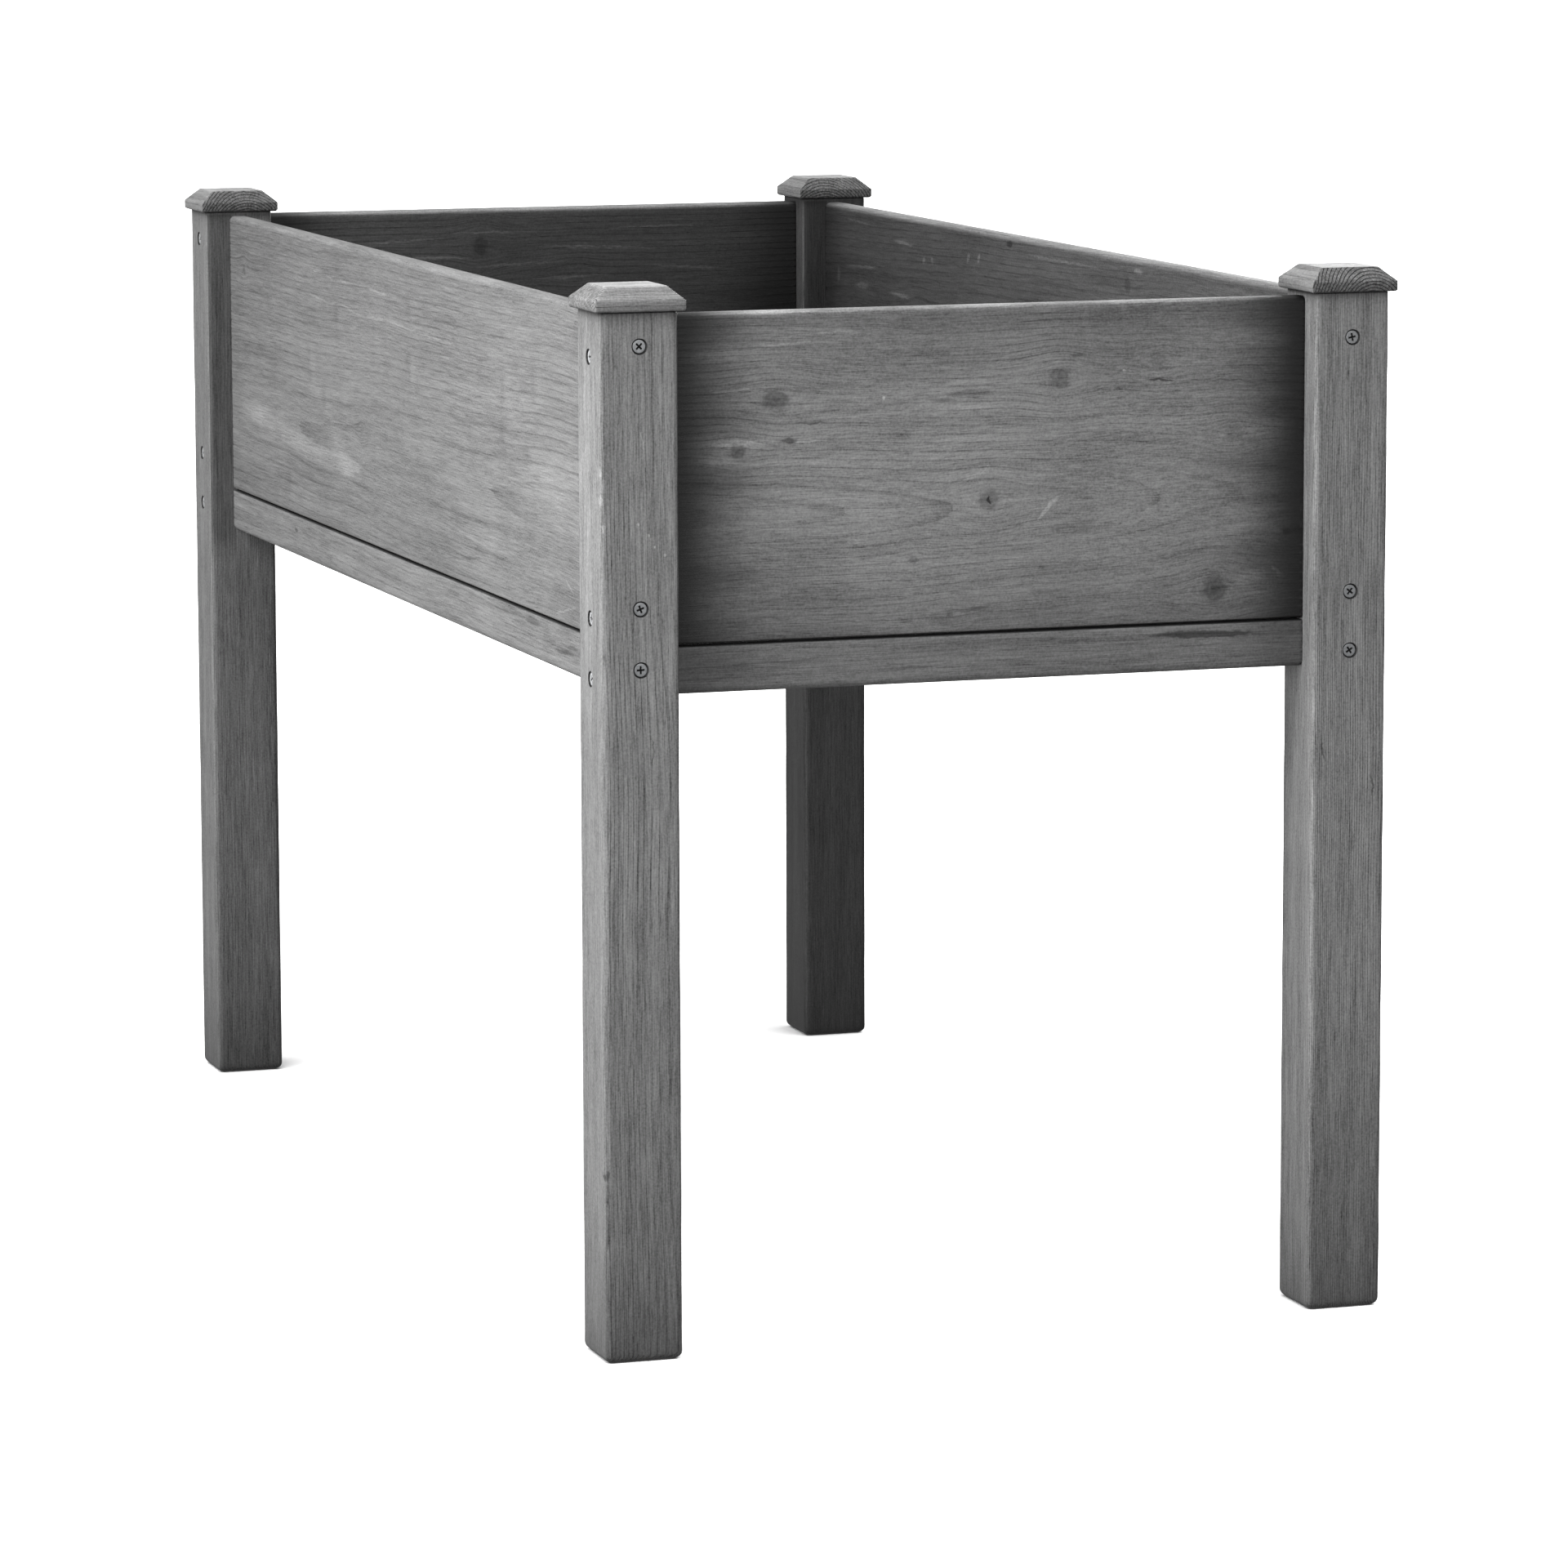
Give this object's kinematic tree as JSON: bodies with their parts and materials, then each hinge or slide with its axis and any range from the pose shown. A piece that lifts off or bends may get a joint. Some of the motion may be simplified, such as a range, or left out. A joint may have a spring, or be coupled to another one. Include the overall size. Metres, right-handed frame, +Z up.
{
  "type": "raised planter",
  "caption": "Rectangular softwood planting box held at waist height between square posts with bevelled caps, with a slatted floor.",
  "frame": {"origin": "on the ground, midway between the four feet", "axes": "+X along the long walls, +Y from the front wall to the back wall, +Z up"},
  "size_m": [1.229, 0.601, 0.762],
  "materials": {
    "stained_post": "matt grey stain on planed softwood",
    "stained_cap": "matt grey stain on planed softwood, end grain on two sides",
    "stained_board": "matt grey stain on planed softwood with knots",
    "sawn_softwood": "thin grey stain on rougher softwood",
    "beech_dowel": "plain beech",
    "zinc_screw": "bright zinc plate"
  },
  "bodies": {
    "root": {"post_front_right": "stained_post", "post_back_right": "stained_post", "post_back_left": "stained_post", "post_front_left": "stained_post", "cap_front_right": "stained_cap", "cap_back_right": "stained_cap", "cap_back_left": "stained_cap", "cap_front_left": "stained_cap", "cap_dowel_front_right": "beech_dowel", "cap_dowel_back_right": "beech_dowel", "cap_dowel_back_left": "beech_dowel", "cap_dowel_front_left": "beech_dowel", "panel_front": "stained_board", "panel_right": "stained_board", "panel_back": "stained_board", "panel_left": "stained_board", "rail_front": "stained_board", "rail_right": "stained_board", "rail_back": "stained_board", "rail_left": "stained_board", "batten_front": "sawn_softwood", "batten_right": "sawn_softwood", "batten_back": "sawn_softwood", "batten_left": "sawn_softwood", "floor_bearer": "sawn_softwood", "floor_slat_1": "sawn_softwood", "floor_slat_2": "sawn_softwood", "floor_slat_3": "sawn_softwood", "floor_slat_4": "sawn_softwood", "floor_slat_5": "sawn_softwood", "floor_slat_6": "sawn_softwood", "floor_slat_7": "sawn_softwood", "floor_slat_8": "sawn_softwood", "screw_front_right_into_front_upper": "zinc_screw", "screw_front_right_into_front_middle": "zinc_screw", "screw_front_right_into_front_lower": "zinc_screw", "screw_front_right_into_right_upper": "zinc_screw", "screw_front_right_into_right_middle": "zinc_screw", "screw_front_right_into_right_lower": "zinc_screw", "screw_back_right_into_right_upper": "zinc_screw", "screw_back_right_into_right_middle": "zinc_screw", "screw_back_right_into_right_lower": "zinc_screw", "screw_back_right_into_back_upper": "zinc_screw", "screw_back_right_into_back_middle": "zinc_screw", "screw_back_right_into_back_lower": "zinc_screw", "screw_back_left_into_back_upper": "zinc_screw", "screw_back_left_into_back_middle": "zinc_screw", "screw_back_left_into_back_lower": "zinc_screw", "screw_back_left_into_left_upper": "zinc_screw", "screw_back_left_into_left_middle": "zinc_screw", "screw_back_left_into_left_lower": "zinc_screw", "screw_front_left_into_left_upper": "zinc_screw", "screw_front_left_into_left_middle": "zinc_screw", "screw_front_left_into_left_lower": "zinc_screw", "screw_front_left_into_front_upper": "zinc_screw", "screw_front_left_into_front_middle": "zinc_screw", "screw_front_left_into_front_lower": "zinc_screw"}
  },
  "joints": []
}
